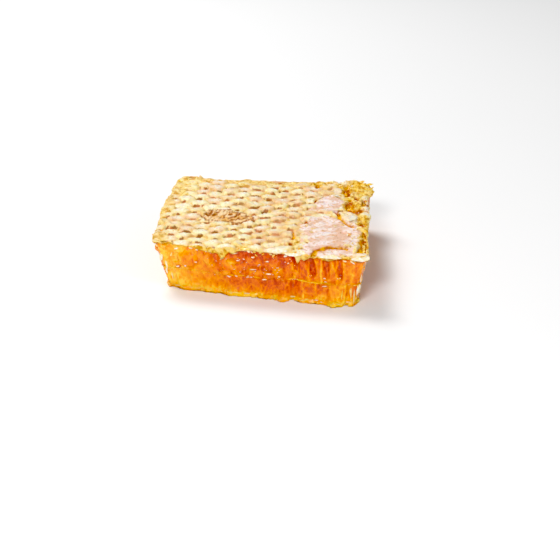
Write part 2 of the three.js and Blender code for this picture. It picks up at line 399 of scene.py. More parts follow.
# Ridges of lifted wax beside them: (height, points).
LIPS = (
    (0.5, (19.6, -31.2), (21.4, -28.2), (25.0, -26.2), (29.8, -26.6)),
    (0.4, (17.6, 11.4), (19.0, 15.4), (21.4, 18.2), (24.4, 18.0)),
    (0.5, (28.2, 1.4), (29.4, -1.6), (31.0, -3.4)),
    (1.2, (-33.5, 34.8), (-30.5, 35.6), (-27.0, 34.6)),
    (1.1, (27.5, 34.8), (31.0, 35.4), (34.5, 33.4)),
    (0.5, (4.4, -30.0), (8.2, -30.8)),
    (0.6, (33.2, -34.6), (36.0, -35.0)),
)


def whole_caps(p, near, wander, chance):
    """Height, dome and painted shade of whole caps.

    They are domes, each tilted and swollen in its own way, that run into the ones beside them.
    Between one cap and the next behind it lies a short, deep dash, painted dark as shade.
    """
    border, offset = near["border"], near["offset"]
    ahead = smooth(0.3, 0.85, near["ahead"])
    dome = 1 - mix(0.45, 1.0, ahead) * (1 - np.clip(border / 2.0, 0, 1)) ** 2.1
    tilt = (offset[:, 0] * (chance[0] - 0.5) + offset[:, 1] * (chance[1] - 0.9)) * 0.24
    swell = mix(0.3, 1.15, chance[2])
    dimple = (chance[3] > 0.62) * 0.5 * bump(near["middle"], 1.4)
    pit = (chance[4] * 0.6 + 0.4) * bump(near["joint"], 0.5)
    pit = pit * smooth(-0.4, 0.5, fractal(p, 5, 21) + 0.1)
    strength = mix(0.35, 1.1, scramble(*near["pair"], SEED))
    strength = strength * smooth(-0.9, 0.2, noise(p, 12, 22) + 0.4)
    slip = 1.8 * (scramble(*near["pair"], SEED + 1) - 0.5)
    dash = 1.25 * strength * bump(border, 0.66) * ahead
    dash = dash * smooth(1.6, 0.4, np.abs(offset[:, 0] + slip + 0.5 * wander[:, 0]))
    height = swell * dome + tilt * dome - dimple - 0.5 * pit - 0.65 * dash
    # The painted shade is darker in the dashes, in the pits where three caps meet and in the dimples.
    return height, dome, np.clip(dash * 1.3 + 0.6 * pit + 0.5 * dimple, 0, 1)


def capping_surface(xy, to_edge):
    """Heights of the capping at points, and the masks that its material reads."""
    p = in_plane(xy)
    wander = drift(p, 2.3, 15)
    near = cell_map(xy + 0.6 * wander)
    chance = [scramble(near["cell"], k, SEED) for k in range(6)]
    caps, dome, dash_pit_shade = whole_caps(p, near, wander, chance)
    wrinkle = 0.15 * fractal(p, 1.7, 23) + 0.07 * noise(p, 0.7, 24)

    smear = any_patch(xy, SMEARED, ragged=0.5, soft=0.3)
    torn = any_patch(xy, TORN, ragged=0.55, soft=0.35)
    opened = any_patch(xy, OPEN_CELLS, ragged=0.5, soft=0.35)
    yellow = any_patch(xy, YELLOW, ragged=0.6, soft=0.6)
    tan = any_patch(xy, TAN, ragged=0.3, soft=0.4)
    rosy = any_patch(xy, ROSY, ragged=0.5, soft=0.6)
    lifted = any_patch(xy, LIFTED, ragged=0.25, soft=0.2)
    crack = np.max([stroke(xy, c, wide, seed=k) for k, (wide, *c) in enumerate(CRACKS)], axis=0)
    lip = np.sum([tall * stroke(xy, c, 0.8, seed=9 + k) for k, (tall, *c) in enumerate(LIPS)], axis=0)

    # Smeared wax is nearly flat with drag marks, torn wax is fibrous and porous.
    drag = in_plane(np.column_stack([xy @ (0.9, 0.44), 2.2 * (xy @ (-0.44, 0.9))]))
    ridge = fractal(drag, 5, 25)
    pock = 0.55 * bump(fractal(p, 3.3, 27) - 0.8, 0.1)
    smeared = 0.45 + 0.2 * ridge + 0.2 * dome * chance[5] - pock + 0.5 * wrinkle
    grain = in_plane(np.column_stack([1.5 * (xy @ (0.94, -0.34)), 0.75 * (xy @ (0.34, 0.94))]))
    fibre = np.abs(fractal(grain, 3.2, 29))
    fibres = 0.1 - 1.0 * fibre + 0.4 * smooth(0.1, 0.6, noise(p, 1.6, 31))
    crumbs = 0.25 + 0.65 * fractal(p, 2.3, 33) + 0.35 * noise(p, 0.9, 35)
    crumbly = mix(0.3, 0.85, smooth(0, 22, xy[:, 0]))

    height = mix(caps + wrinkle, smeared, smear)
    height = mix(height, 0.5 + 0.14 * fractal(p, 4, 26), tan)
    height = mix(height, crumbs, crumbly * yellow * (1 - smear))
    height = mix(height, fibres, torn)
    before_crack = patch(xy, 25.5, -32.0, 7.0, 3.4, 6, ragged=0.1, soft=0.2)
    height = height - 0.55 * before_crack + lip
    height = height - opened * (1.7 + 0.8 * fractal(p, 1.9, 37)) - 1.2 * crack
    height = mix(height, 0.55 + 0.3 * bump(near["middle"], 2) + 0.15 * ridge, 0.8 * lifted)
    height = height + 0.4 * noise(p, 17, 39) + 0.06 * fractal(p, 1.1, 41)
    height = height - 0.5 * bump(to_edge, 0.8)

    whole = (1 - 0.92 * smear) * (1 - torn) * (1 - lifted)
    # The creases between caps are painted darker and yellower: partly the wax's own yellow, partly
    # painted shade.
    crease = bump(near["border"], 0.4) * smooth(-0.4, 0.5, noise(p, 2.0, 42))
    # A painted highlight on the middle of each cap.
    crest_highlight = dome * bump(near["middle"], 2.0)
    marks = (smear, torn, yellow * mix(0.2, 1, crumbly), opened + crack)
    relief = (crease * whole, dash_pit_shade * whole, chance[5], tan + 0.8 * rosy)
    tone = (0.5 + 0.5 * ridge, 2.0 * fibre, lifted, crest_highlight)
    return Z_GROOVE + height, *(np.column_stack(mask) for mask in (marks, relief, tone))


# ---- the capping -----------------------------------------------------------------------
# The lower edge of the capping along the front: (place, extra drop, reach).
FRONT_DROPS = (
    (15.5, 0.6, 2.0), (20.0, 1.9, 3.2), (24.0, 3.4, 1.5), (27.5, 1.6, 1.6), (47.0, 0.7, 1.2),
    (49.6, 3.1, 0.8), (51.8, 1.8, 1.6), (59.5, 1.1, 3.0), (69.5, 0.7, 2.0),
)
# The turned-over edge: (how far out, share of the drop).
RIM_ROWS = ((0.18, 0.12), (0.3, 0.42), (0.26, 0.78), (0.04, 1.0))


def capping_edge(loop, side, along):
    """The height of the capping's lower edge at each point of its outline."""
    p = in_plane(loop)
    jag = 0.5 * fractal(p, 2.2, 43) + 0.6 * np.abs(noise(p, 0.9, 44))
    front = sum(drop * bump(along - place, reach) for place, drop, reach in FRONT_DROPS)
    plain = 0.9 * smooth(-0.3, 0.8, noise(p, 7, 45)) + 0.9 * smooth(0.35, 0.8, noise(p, 4, 46))
    drop = np.where(side == 0, front + 0.5 * np.abs(jag), plain + 0.9 * np.abs(jag))
    return Z_CAPPING + 0.15 - drop


def make_capping():
    """The capping's top, the edge that hangs over the cut, and a plain, hidden underside."""
    spacing = 0.3
    loop, side, along = outline(0, spacing)
    loop = loop + OVERHANG * outward(loop)
    xy, number, border, steps = sheet_between(loop, side)
    z, *masks = capping_surface(xy, steps * spacing)

    # The edge turns over, hangs down to its ragged lower edge and comes back in underneath.
    edge = capping_edge(loop, side, along)
    p = in_plane(loop)
    thick = 0.3 * fractal(p, 1.8, 47) + 0.2 * noise(p, 0.8, 48)
    hidden = Z_CAPPING - SUNK + 0.4
    rows = [(far + thick * share, mix(z[border], edge, share)) for far, share in RIM_ROWS]
    for far, level in ((-0.5, edge + 0.35), (-1.6, edge + 0.6), (-ROOF_INSET, 0 * edge + hidden)):
        rows.append((np.full(len(loop), far), np.minimum(level, Z_CAPPING - 0.1)))
    rings = [np.column_stack([loop + outward(loop) * far[:, None], level]) for far, level in rows]
    vertices = np.vstack([np.column_stack([xy, z]), *rings, [[0, 0, hidden]]])
    belts = np.vstack([border, numbered(len(rings), len(loop), len(xy))])
    underside = fan_faces(belts[-1], len(vertices) - 1)[:, ::-1]
    faces = [grid_faces(number), belt_faces(belts[::-1]), underside]

    # The edge is yellower further down, and most of all near the ends of the front.
    bright = np.where(side == 0, smooth(31, 24, along) + smooth(50, 56, along), 0.6)
    shares = [share for _, share in RIM_ROWS] + 3 * [1]
    rim_yellow = 0.3 * noise(p, 4, 73) + 0.45 * bright + 0.5 * np.array(shares)[:, None]
    rim = np.zeros((3, len(vertices) - len(xy), 4))
    rim[0, :-1, 2] = rim_yellow.ravel()
    rim[1, :, 2] = 0.5
    named = zip(("marks", "relief", "tone"), masks, rim)
    masks = {name: np.vstack([inside, outside]) for name, inside, outside in named}
    mesh_piece("top_capping_wax", vertices, faces, capping_wax(), ["top_capping"], masks)


# ---- the cut faces ---------------------------------------------------------------------
# The front's gobs of honey: (place along, height, half width, half height, how proud).
GOBS = (
    (11.0, 11.6, 4.2, 3.2, 0.8), (6.5, 9.3, 2.0, 1.2, 0.5), (18.0, 12.4, 2.0, 2.4, 0.5),
    (23.5, 7.9, 2.4, 1.1, 0.7), (27.6, 8.3, 1.4, 1.0, 0.6), (27.0, 12.4, 2.4, 1.0, 0.8),
    (31.0, 9.6, 0.7, 0.5, 0.5), (32.6, 7.8, 1.6, 0.9, 0.7), (34.6, 10.4, 2.2, 0.6, 0.6),
    (38.6, 7.4, 1.5, 0.8, 0.8), (38.2, 10.8, 1.6, 0.9, 0.5), (40.2, 9.4, 2.4, 0.7, 0.8),
    (44.3, 9.0, 1.1, 0.8, 0.6), (34.4, 14.6, 1.2, 0.5, 0.6), (39.2, 13.7, 0.9, 0.6, 0.5),
    (41.6, 15.2, 1.1, 0.5, 0.5), (48.2, 12.2, 1.2, 2.0, 0.4), (59.8, 7.2, 2.4, 0.8, 0.6),
    (57.5, 1.8, 1.6, 0.6, 0.4), (12.5, 2.2, 1.4, 0.7, 0.3),
)
# The front's drained cells: (place along, top, bottom, half width, lean, depth).
DRAINED = (
    (54.4, 17.0, 9.0, 1.75, -0.33, 1.1), (59.8, 16.0, 8.8, 1.3, -0.18, 0.8),
    (64.0, 17.0, 9.4, 1.6, -0.35, 1.1), (49.4, 15.0, 9.6, 1.1, -0.25, 0.5),
    (44.2, 16.6, 10.4, 1.5, -0.15, 0.5), (30.6, 15.6, 11.6, 1.4, 0.2, 0.4),
    (20.8, 14.6, 10.4, 1.9, 0.05, 0.4),
)


def gob_rows():
    """The front's own gobs, small ones along its middle, and scattered ones on the other sides."""
    pick = np.random.default_rng(SEED)
    rows = [("front", *row) for row in GOBS]
    for _ in range(SMALL_GOBS):
        place, level = pick.uniform(19, 50), pick.uniform(6.6, 10.4)
        rows.append(("front", place, level, *pick.uniform(0.35, 0.8, 2), 0.35))
    for name in SIDES[1:]:
        for _ in range(SIDE_GOBS):
            place = pick.uniform(1, LENGTHS[SIDES.index(name)] - 1)
            level = pick.uniform(2, 15.5)
            rows.append((name, place, level, *pick.uniform(0.6, 2.4, 2), pick.uniform(0.3, 0.8)))
    return rows


def drained_rows():
    """The front's own drained cells, and scattered ones on the other sides."""
    pick = np.random.default_rng(SEED + 1)
    rows = [("front", *row) for row in DRAINED]
    for name in SIDES[1:]:
        place = 1.5
        while place < LENGTHS[SIDES.index(name)] - 1.5:
            place += pick.uniform(3.4, 7.2)
            ranges = ((14.5, 17.2), (8.6, 11.5), (1.1, 1.9), (-0.35, 0.1), (0.4, 1.2))
            rows.append((name, place, *(pick.uniform(*span) for span in ranges)))
            if pick.random() < 0.4:
                bottom, half = pick.uniform(5.4, 6.8), pick.uniform(1.0, 1.7)
                rows.append((name, place + 2, 1.6, bottom, half, 0.1, 0.5))
    return rows


def midrib_height(p):
    """The wavy level of the midrib round the block."""
    p = p * (1, 1, 0)
    return Z_MIDRIB - 0.2 + 0.45 * noise(p, 7, 51) + 0.3 * noise(p, 2.6, 52)


def cell_walls(side, along, z, tier):
    """How near a cell wall each point of a cut is, 0 to 1, which cell it is in, and where in it."""
    pitch = np.where(side % 2 == 0, LENGTHS[0] / FRONT_CELLS, CELL)
    lean = 0.1 * np.sin(along / 11 + 2 * side) - 0.08
    p = np.stack([along, np.zeros_like(along), 40.0 * side + 9 * tier], axis=-1)
    phase = (along - lean * (z - Z_MIDRIB)) / pitch + 0.5 * tier - 0.1 + 0.16 * noise(p, 9, 53)
    phase = phase + 0.09 * noise(np.stack([along, z, 7.0 * side], axis=-1), 3.5, 54)
    cell = np.floor(phase)
    gap = np.abs(phase - np.round(phase)) * pitch
    broken = smooth(-0.5, 0.3, noise(np.stack([along, 0.5 * z, 9.0 * side], axis=-1), 4, 50) + 0.1)
    return bump(gap, 0.42) * broken, cell.astype(int), phase - cell


def cut_relief(p, side, along, z, tier):
    """How far a cut stands out at each point, and what the honey's colour is worked out from."""
    wall, cell, within = cell_walls(side, along, z, tier)
    streak = noise(p * (1, 1, 0.12), 0.8, 55) + 0.6 * noise(p * (1, 1, 0.3), 2.0, 56)

    # A cell that has run out is hollow, widest at its open end.
    run_out = np.zeros_like(along)
    for name, place, top, bottom, half, lean, deep in drained_rows():
        fall = np.clip((top - z) / (top - bottom), 0, 1.2)
        width = half * np.sqrt(np.clip(1 - fall**2.2, 0.0001, 1))
        across = np.abs((along - place - lean * (z - (top + bottom) / 2)) / width)
        inside = (side == SIDES.index(name)) * smooth(1.25, 0.35, across) * smooth(1.05, 0.8, fall)
        run_out = np.maximum(run_out, inside * deep)

    gobs = np.zeros_like(along)
    for name, place, level, half, tall, proud in gob_rows():
        r = ((along - place) / half) ** 2 + ((z - level) / tall) ** 2
        round_top = np.sqrt(np.clip(1 - r, 0, 1)) * smooth(1, 0.4, r)
        gobs = np.maximum(gobs, (side == SIDES.index(name)) * proud * round_top)

    hollow = (0.1 + 0.3 * scramble(cell, side, tier + 2, 0)) * np.sin(np.pi * within) ** 1.5
    wet = 0.22 * fractal(p * (1, 1, 0.8), 3.4, 57, 2) + 0.14 * noise(p, 1.3, 58)
    rib = bump(z - midrib_height(p), 0.55)
    rough_rib = 0.3 * rib * noise(p, 1.5, 59)
    band = bump(z - 8.8, 1.9) * smooth(16, 24, along) * smooth(52, 44, along)
    band = np.where(side == 0, band, 0.5)
    band = np.maximum(band, 0.7 * (side == 0) * bump(z - 13.8, 1.6) * bump(along - 36, 9))
    glints = 0.26 * band * noise(p * (1, 1, 1.7), 1.25, 49)
    out = wet + 1.3 * gobs + glints + 0.2 * wall - hollow - run_out + rough_rib + 0.05 * streak
    # The hollow of a drained cell is painted darker: painted shade.
    own, drained_shade = scramble(cell, side, tier + 2, 2), np.clip(run_out, 0, 1)
    return out, {"wall": wall, "streak": streak, "drained_shade": drained_shade, "rib": rib, "own": own}


def honey_glow(side, along, z, p, tier, cut):
    """How light the honey looks, from 0, deep amber, to 1, pale gold, painted shade included."""
    front = (
        0.27
        + 0.42 * bump(along, 19)
        + 0.2 * smooth(50, 66, along)
        # painted shadow of the capping's overhang on the upper middle of the front
        - 0.2 * smooth(11.5, 15.5, z) * smooth(15, 27, along) * smooth(58, 48, along)
        + 0.2 * bump(along - 6, 3) * smooth(13.5, 15, z)
        + 0.1 * bump(along - 3, 6)
        + 0.34 * bump(along - 27, 2.4) * bump(z - 12.4, 1.3)
        + 0.22 * bump(along - 17.4, 2.0) * bump(z - 12, 3)
        - 0.2 * bump(along - 10.5, 2.6) * bump(z - 12, 2.2)
        + 0.12 * bump(along - 34, 14) * bump(z - 9.3, 1.2)
    )
    other = 0.42 + 0.18 * fractal(p * (1, 1, 0.5), 12, 61, 2)
    foot = 0.46 * bump(z - 0.4, 2.2) * (1 + 0.5 * noise(p * (1, 1, 0.4), 2.2, 62))
    shade = -0.05 * bump(z - Z_MIDRIB + 1.7, 1.8) * (tier == 0)
    walls = cut["wall"] * np.where(side == 0, mix(0.1, 0.5, smooth(44, 54, along)), 0.34)
    patches = 0.11 * fractal(p * (1, 1, 0.7), 3.6, 63, 3) + 0.1 * noise(p * (1, 1, 0.8), 0.8, 74)
    fine = cut["streak"] * np.where(side == 0, mix(0.5, 1.3, smooth(36, 56, along)), 1.1)
    pale_threads = bump(noise(p * (1, 1, 0.7), 3.0, 64), 0.09)
    dark_threads = bump(noise(p * (1, 1, 0.5), 3.6, 66), 0.1)
    glow = np.where(side == 0, front, other) + foot + shade + walls + patches + 0.09 * fine
    glow = glow + 0.14 * (cut["own"] - 0.5) + 0.2 * pale_threads - 0.16 * dark_threads
    # Drained cells are painted darker, and so is a band just under the capping all round: painted
    # shade.
    return glow - 0.36 * cut["drained_shade"] - 0.12 * smooth(Z_CAPPING - 2.2, Z_CAPPING, z)


def make_cells(name, tier, floor, roof, replaces):
    """One layer of cut cells as a closed belt round the block. floor and roof give its levels."""
    spacing = 0.21
    rows = 44 if tier else 30  # of vertices, from floor to roof
    head, side, along = outline(0, spacing)
    base, _, _ = outline(1, spacing)
    low, high = floor(in_plane(head)), roof(in_plane(head))
    z = mix(low[None], high[None], np.linspace(0, 1, rows)[:, None])
    share = (z / Z_CAPPING)[..., None]
    xy = mix(base[None], head[None], share)
    out = mix(outward(base)[None], outward(head)[None], share)
    p = np.concatenate([xy, z[..., None]], axis=-1)
    sides, places = np.broadcast_to(side, z.shape), np.broadcast_to(along, z.shape)
    push, cut = cut_relief(p, sides, places, z, tier)
    glow = honey_glow(sides, places, z, p, tier, cut)
    skin = np.concatenate([xy + out * push[..., None], z[..., None]], axis=-1).reshape(-1, 3)

    # The roof is sunk in the middle, clear of the open cells of the capping.
    sunk = SUNK if tier else 0.0
    inner = np.column_stack([head - ROOF_INSET * outward(head), high - sunk])
    middles = [[0, 0, low.mean()], [0, 0, high.mean() - sunk]]
    vertices = np.vstack([skin, inner, middles])
    belts = np.vstack([numbered(*z.shape), len(skin) + np.arange(len(inner))])
    last = len(vertices) - 1
    faces = [belt_faces(belts), fan_faces(belts[0], last - 1)[:, ::-1], fan_faces(belts[-1], last)]
    marks = np.zeros((len(vertices), 4))
    marks[: len(skin), :2] = np.column_stack([glow.ravel(), cut["rib"].ravel()])
    mesh_piece(name, vertices, faces, honey(), replaces, {"marks": marks})


def make_midrib():
    """The edge of the wax sheet between the two layers, which shows here and there."""
    spacing = 0.25
    head, side, along = outline(0, spacing)
    base, _, _ = outline(1, spacing)
    level = midrib_height(in_plane(head))
    mid = mix(base, head, (level / Z_CAPPING)[:, None])
    shown = np.where(side == 0, 0.45 * smooth(44, 56, along) - 0.5, -0.05)
    proud = shown * 0.5 + 0.4 * fractal(in_plane(head), 2.6, 65)
    rings = []
    for far, rise in ((-3.0, -0.16), (0.0, -0.2), (0.12, 0.0), (0.0, 0.2), (-3.0, 0.16)):
        reach = far + (far > -1) * proud
        rings.append(np.column_stack([mid + outward(mid) * reach[:, None], level + rise]))
    middles = [[0, 0, level.mean() - 0.16], [0, 0, level.mean() + 0.16]]
    vertices = np.vstack([*rings, middles])
    belts = numbered(len(rings), len(mid))
    last = len(vertices) - 1
    faces = [belt_faces(belts), fan_faces(belts[0], last - 1)[:, ::-1], fan_faces(belts[-1], last)]
    mesh_piece("midrib_wax", vertices, faces, yellow_wax(), ["midrib"])


# ---- the underside ---------------------------------------------------------------------
def make_base():
    """The lower capping: pressed caps underneath and a scalloped lip that stands out all round."""
    spacing = 0.35
    loop, side, _ = outline(1, spacing, rough=1.2)
    p = in_plane(loop)
    lip = 0.28 + 0.4 * fractal(p, 3.0, 67) + 0.45 * smooth(0.1, 0.7, noise(p, 1.3, 68))
    lip = lip + 0.2 * noise(p, 0.8, 70)
    edge = 0.4 + 0.4 * fractal(p, 2.0, 69)
    hidden = Z_LOWER + 0.3

    # Rings of (how far out, height), from inside the block to the cut's foot, then over the lip,
    # where how far out is a share of the lip.
    inside = ((-4.0, hidden), (-0.4, Z_LOWER + 0.4), (0.0, Z_LOWER))
    profile = ((0.55, 0.75), (0.95, 0.42), (1.0, 0.16), (0.97, 0.02))
    rows = [(np.full(len(loop), far), np.full(len(loop), z)) for far, z in inside]
    rows += [(far * lip, z + edge * smooth(1.2, 0.2, z) * (z > 0.1)) for far, z in profile]
    rings = [np.column_stack([loop + outward(loop) * far[:, None], z]) for far, z in rows]

    # Underneath, a sheet of pressed caps is stretched inside the lip's lower edge.
    xy, number, border, _ = sheet_between(loop + outward(loop) * (0.55 * lip)[:, None], side)
    crease = cell_map(xy + (2.5, 3.0))["border"]
    p = in_plane(xy)
    z = 0.42 * bump(crease, 0.6) * smooth(-0.6, 0.4, noise(p, 9, 71))
    z = z + 0.03 * np.abs(fractal(p, 1.5, 72))
    vertices = np.vstack([np.column_stack([xy, z]), *rings, [[0, 0, hidden]]])
    belts = np.vstack([border, numbered(len(rings), len(loop), len(xy))[::-1]])
    roof = fan_faces(belts[-1], len(vertices) - 1)
    faces = [grid_faces(number)[:, ::-1], belt_faces(belts), roof]
    mesh_piece("bottom_capping_wax", vertices, faces, yellow_wax(), ["bottom_capping"])


# ---- beads, flakes and crumbs ----------------------------------------------------------
# The front's small beads of honey: (place along, height, half width, half height).
BEADS = (
    (34.6, 14.6, 0.9, 0.5), (31.0, 13.2, 0.5, 0.35), (36.6, 12.0, 0.45, 0.35),
    (43.0, 11.6, 0.6, 0.3), (46.4, 13.4, 0.4, 0.5), (59.4, 9.2, 0.5, 0.4),
    (34.1, 10.4, 1.4, 0.35), (39.6, 9.3, 1.3, 0.5), (38.5, 7.4, 1.0, 0.5),
    (32.4, 7.6, 0.6, 0.5), (33.4, 7.4, 0.5, 0.45), (28.1, 7.3, 0.55, 0.5),
    (28.9, 12.9, 0.5, 0.5), (42.1, 15.4, 0.7, 0.45), (39.3, 13.7, 0.6, 0.5),
    (44.1, 9.0, 0.55, 0.5), (54.6, 9.6, 0.7, 0.6), (64.4, 9.8, 0.8, 0.6),
    (59.9, 6.7, 1.3, 0.35), (59.8, 8.1, 0.6, 0.4), (57.5, 1.6, 0.8, 0.35), (6.8, 8.7, 0.8, 0.6),
    (10.0, 9.4, 0.5, 0.5), (14.0, 11.0, 0.5, 0.6), (22.9, 8.7, 0.5, 0.4),
    (25.6, 7.1, 0.9, 0.35),
)
# Slivers of wax in the cut: (side, place along, height, half length, half width, turn, tone).
SLIVERS = (
    ("front", 0.4, 11.4, 1.6, 0.4, 82, 0.2), ("front", 1.6, 8.6, 1.7, 0.35, 96, 0.35),
    ("front", 0.6, 6.2, 1.2, 0.3, 88, 0.2), ("front", 2.6, 4.4, 1.1, 0.3, 100, 0.5),
    ("front", 5.2, 12.6, 0.9, 0.25, 70, 0.6), ("front", 66.6, 4.0, 1.8, 0.25, 88, 0.9),
    ("front", 69.4, 4.6, 2.2, 0.3, 93, 0.6), ("front", 71.2, 3.6, 2.2, 0.3, 86, 0.5),
    ("front", 72.4, 5.6, 1.6, 0.5, 80, 0.2), ("right", 0.6, 6.4, 1.2, 0.8, 70, 0.15),
    ("right", 2.0, 4.8, 0.9, 0.4, 50, 0.4), ("right", 1.2, 9.6, 1.4, 0.4, 75, 0.4),
    ("right", 64.0, 12.0, 1.6, 0.5, 80, 0.6), ("left", 66.0, 11.0, 1.5, 0.4, 95, 0.4),
)
# Flakes that stand up at the top edge: (x, y, z, half length, half width, turn, tilt, tone).
FLAKES = (
    (34.6, -36.0, 17.4, 2.8, 1.0, 3, 42, 0.0), (6.4, -31.9, 17.6, 3.3, 0.9, -5, 36, 0.0),
    (11.8, -33.2, 17.1, 2.5, 0.7, -10, 38, 0.0), (16.4, -33.8, 17.2, 1.2, 0.5, -8, 20, 0.7),
    (24.5, -35.1, 17.3, 3.8, 0.55, -5, 36, 0.1), (-4.4, -30.2, 17.4, 1.8, 0.7, -8, 20, 0.7),
    (-10.5, -28.6, 17.1, 1.0, 0.5, 12, -30, 0.9), (-33.6, -24.6, 17.2, 1.9, 0.7, -10, -20, 0.9),
    (-36.2, -19.5, 17.0, 1.5, 0.6, 80, 20, 0.8), (36.6, 33.8, 17.5, 1.6, 0.5, 25, 20, 0.8),
    (37.3, 30.4, 17.1, 1.8, 0.7, 75, -15, 0.7), (33.4, 35.7, 17.7, 1.5, 0.5, 10, 35, 0.6),
    (36.9, 26.6, 16.7, 1.4, 0.7, 100, -20, 0.9), (28.0, 35.4, 17.4, 1.6, 0.5, -6, 30, 0.5),
    (-31.2, 35.6, 17.9, 2.5, 0.6, 4, 24, 0.5), (-34.6, 33.0, 17.5, 1.4, 0.6, 60, 20, 0.8),
    (31.0, -2.2, 18.1, 2.5, 1.4, 76, 6, 0.1), (24.8, 20.0, 17.9, 1.7, 0.7, 150, 10, 0.1),
)
# Crumbs on each cut, under the rim and at the base: how many, how proud, and the ranges of
# height, half length, half width, turn and tone.
CRUMBS = (
    (34, 0.5, (15.4, 16.9), (0.3, 0.9), (0.15, 0.4), (-35, 35), (0.1, 1.0)),
    (20, 0.45, (0.7, 1.5), (0.4, 1.1), (0.12, 0.22), (-14, 14), (0.3, 1.0)),
)


def lumps(middles, axes, ragged, curl):
    """Small closed lumps. axes holds the three half-axes of each, the last one across it."""
    turns = np.linspace(0, 2 * math.pi, 16, endpoint=False)
    ring, lift = np.meshgrid(turns, np.linspace(-math.pi / 2, math.pi / 2, 9)[1:-1])
    phase = [6.28 * scramble(np.arange(len(middles)), k, SEED)[:, None, None] for k in range(3)]
    wave = sum(np.sin(n * ring + shift) / n**0.5 for n, shift in zip((2, 3, 5), phase))
    reach = np.cos(lift) * (1 + ragged * wave)
    u, v = reach * np.cos(ring), reach * np.sin(ring)
    w = np.sin(lift) + curl * (u * u + v * v)
    skin = np.stack([u, v, w], axis=-1).reshape(len(middles), -1, 3)
    poles = np.broadcast_to([[0, 0, -1], [0, 0, 1]], (len(middles), 2, 3))
    shape = np.concatenate([skin, poles], axis=1)
    points = np.einsum("npk,nkx->npx", shape, axes) + middles[:, None]
    number = numbered(*ring.shape)
    ends = (fan_faces(number[0], ring.size)[:, ::-1], fan_faces(number[-1], ring.size + 1))
    start = points.shape[1] * np.arange(len(middles))[:, None, None]
    quads = (belt_faces(number)[None] + start).reshape(-1, 4)
    return points.reshape(-1, 3), [quads, (np.vstack(ends)[None] + start).reshape(-1, 3)]


def on_cut(rows, half, tall, thick, turn, proud):
    """Middles and half-axes of lumps on the cut faces. rows start with side, place and height."""
    head, side, along = outline(0, 0.5)
    base, _, _ = outline(1, 0.5)
    on = np.array([SIDES.index(row[0]) for row in rows])
    place, level = np.array([row[1:3] for row in rows], dtype=float).T
    k = np.array([np.argmin(np.abs(along - s) + 1e3 * (side != n)) for s, n in zip(place, on)])
    share = (level / Z_CAPPING)[:, None]
    out = mix(outward(base)[k], outward(head)[k], share)
    middle = np.column_stack([mix(base[k], head[k], share), level])
    upper, lower = (cut_relief(middle, on, place, level, tier)[0] for tier in (1, 0))
    middle[:, :2] += out * (np.where(level > Z_MIDRIB, upper, lower) + proud)[:, None]
    flat = np.zeros(len(rows))
    across = np.column_stack([-out[:, 1], out[:, 0], flat])
    up = np.column_stack([flat, flat, flat + 1])
    a = np.radians(turn)[:, None]
    first = half[:, None] * (across * np.cos(a) + up * np.sin(a))
    second = tall[:, None] * (up * np.cos(a) - across * np.sin(a))
    return middle, np.stack([first, second, thick[:, None] * in_plane(out)], axis=1)


def bead_rows():
    """The front's own beads, and scattered ones all round."""
    pick = np.random.default_rng(SEED + 2)
    rows = [("front", *row) for row in BEADS]
    for _ in range(SIDE_BEADS):
        place, level = pick.uniform(17, 50), pick.uniform(6.5, 15)
        rows.append(("front", place, level, *pick.uniform(0.18, 0.4, 2)))
    for name in SIDES[1:]:
        for _ in range(SIDE_BEADS):
            place = pick.uniform(1, LENGTHS[SIDES.index(name)] - 1)
            rows.append((name, place, pick.uniform(1.5, 15), *pick.uniform(0.2, 0.6, 2)))
    return rows


def make_beads():
    """Beads of clear honey on the cut faces, sunk half into them."""
    rows = bead_rows()
    half, tall = np.array([row[3:5] for row in rows]).T
    middles, axes = on_cut(rows, half, tall, 0.8 * np.minimum(half, tall), 0 * half, 0 * half - 0.05)
    vertices, faces = lumps(middles, axes, 0.16, 0)
    mesh_piece("honey_beads", vertices, faces, clear_honey())


def cut_flakes(pick):
    """Rows for the flecks on beads, which are painted highlights, the slivers and the crumbs, as
    on_cut() takes them.
    """
    rows = []
    for k, (name, place, level, half, tall) in enumerate(bead_rows()):
        # Each front bead, and some others, gets a near-white fleck on its upper side: a painted
        # highlight.
        if name == "front" or pick.random() < 0.4:
            long, wide = (0.75, 0.42) if k < len(BEADS) else (0.6, 0.32)
            at = (name, place + 0.2 * half, level + 0.3 * tall)
            turn = pick.uniform(-12, 12)
            rows.append((*at, long * half, wide * tall, turn, 0.0, 0.7 * min(half, tall)))
    rows += [(*row, 0.05) for row in SLIVERS]
    for name, length in zip(SIDES, LENGTHS):
        for count, proud, *ranges in CRUMBS:
            for _ in range(count):
                place = pick.uniform(0, length)
                rows.append((name, place, *(pick.uniform(*span) for span in ranges), proud))
    return rows


def top_flakes(pick):
    """Middles, half-axes and tones of the flakes on the capping, standing and lying."""
    rows = list(FLAKES)
    for _ in range(LYING_FLAKES):
        x, y = pick.uniform(X0 + 3, X1 - 2), pick.uniform(Y0 + 12, Y1 - 3)
        if pick.random() < 0.5:
            x = X1 - 2 - abs(pick.normal(0, 4))
        ranges = ((0.25, 0.8), (0.2, 0.45), (0, 180), (-20, 20), (0, 1))
        rows.append((x, y, 0, *(pick.uniform(*span) for span in ranges)))
    x, y, z, long, wide, turn, tilt, tone = np.array(rows).T
    lying = z == 0
    z[lying] = capping_surface(np.column_stack([x, y])[lying], np.full(lying.sum(), 9.0))[0]
    a, b = np.radians(turn), np.radians(tilt)
    first = np.column_stack([np.cos(a), np.sin(a), 0 * a])
    second = np.column_stack([-np.sin(a) * np.cos(b), np.cos(a) * np.cos(b), np.sin(b)])
    sizes = np.column_stack([long, wide, 0.1 + 0.1 * wide])[..., None]
    axes = sizes * np.stack([first, second, np.cross(first, second)], axis=1)
    return np.column_stack([x, y, z]), axes, tone


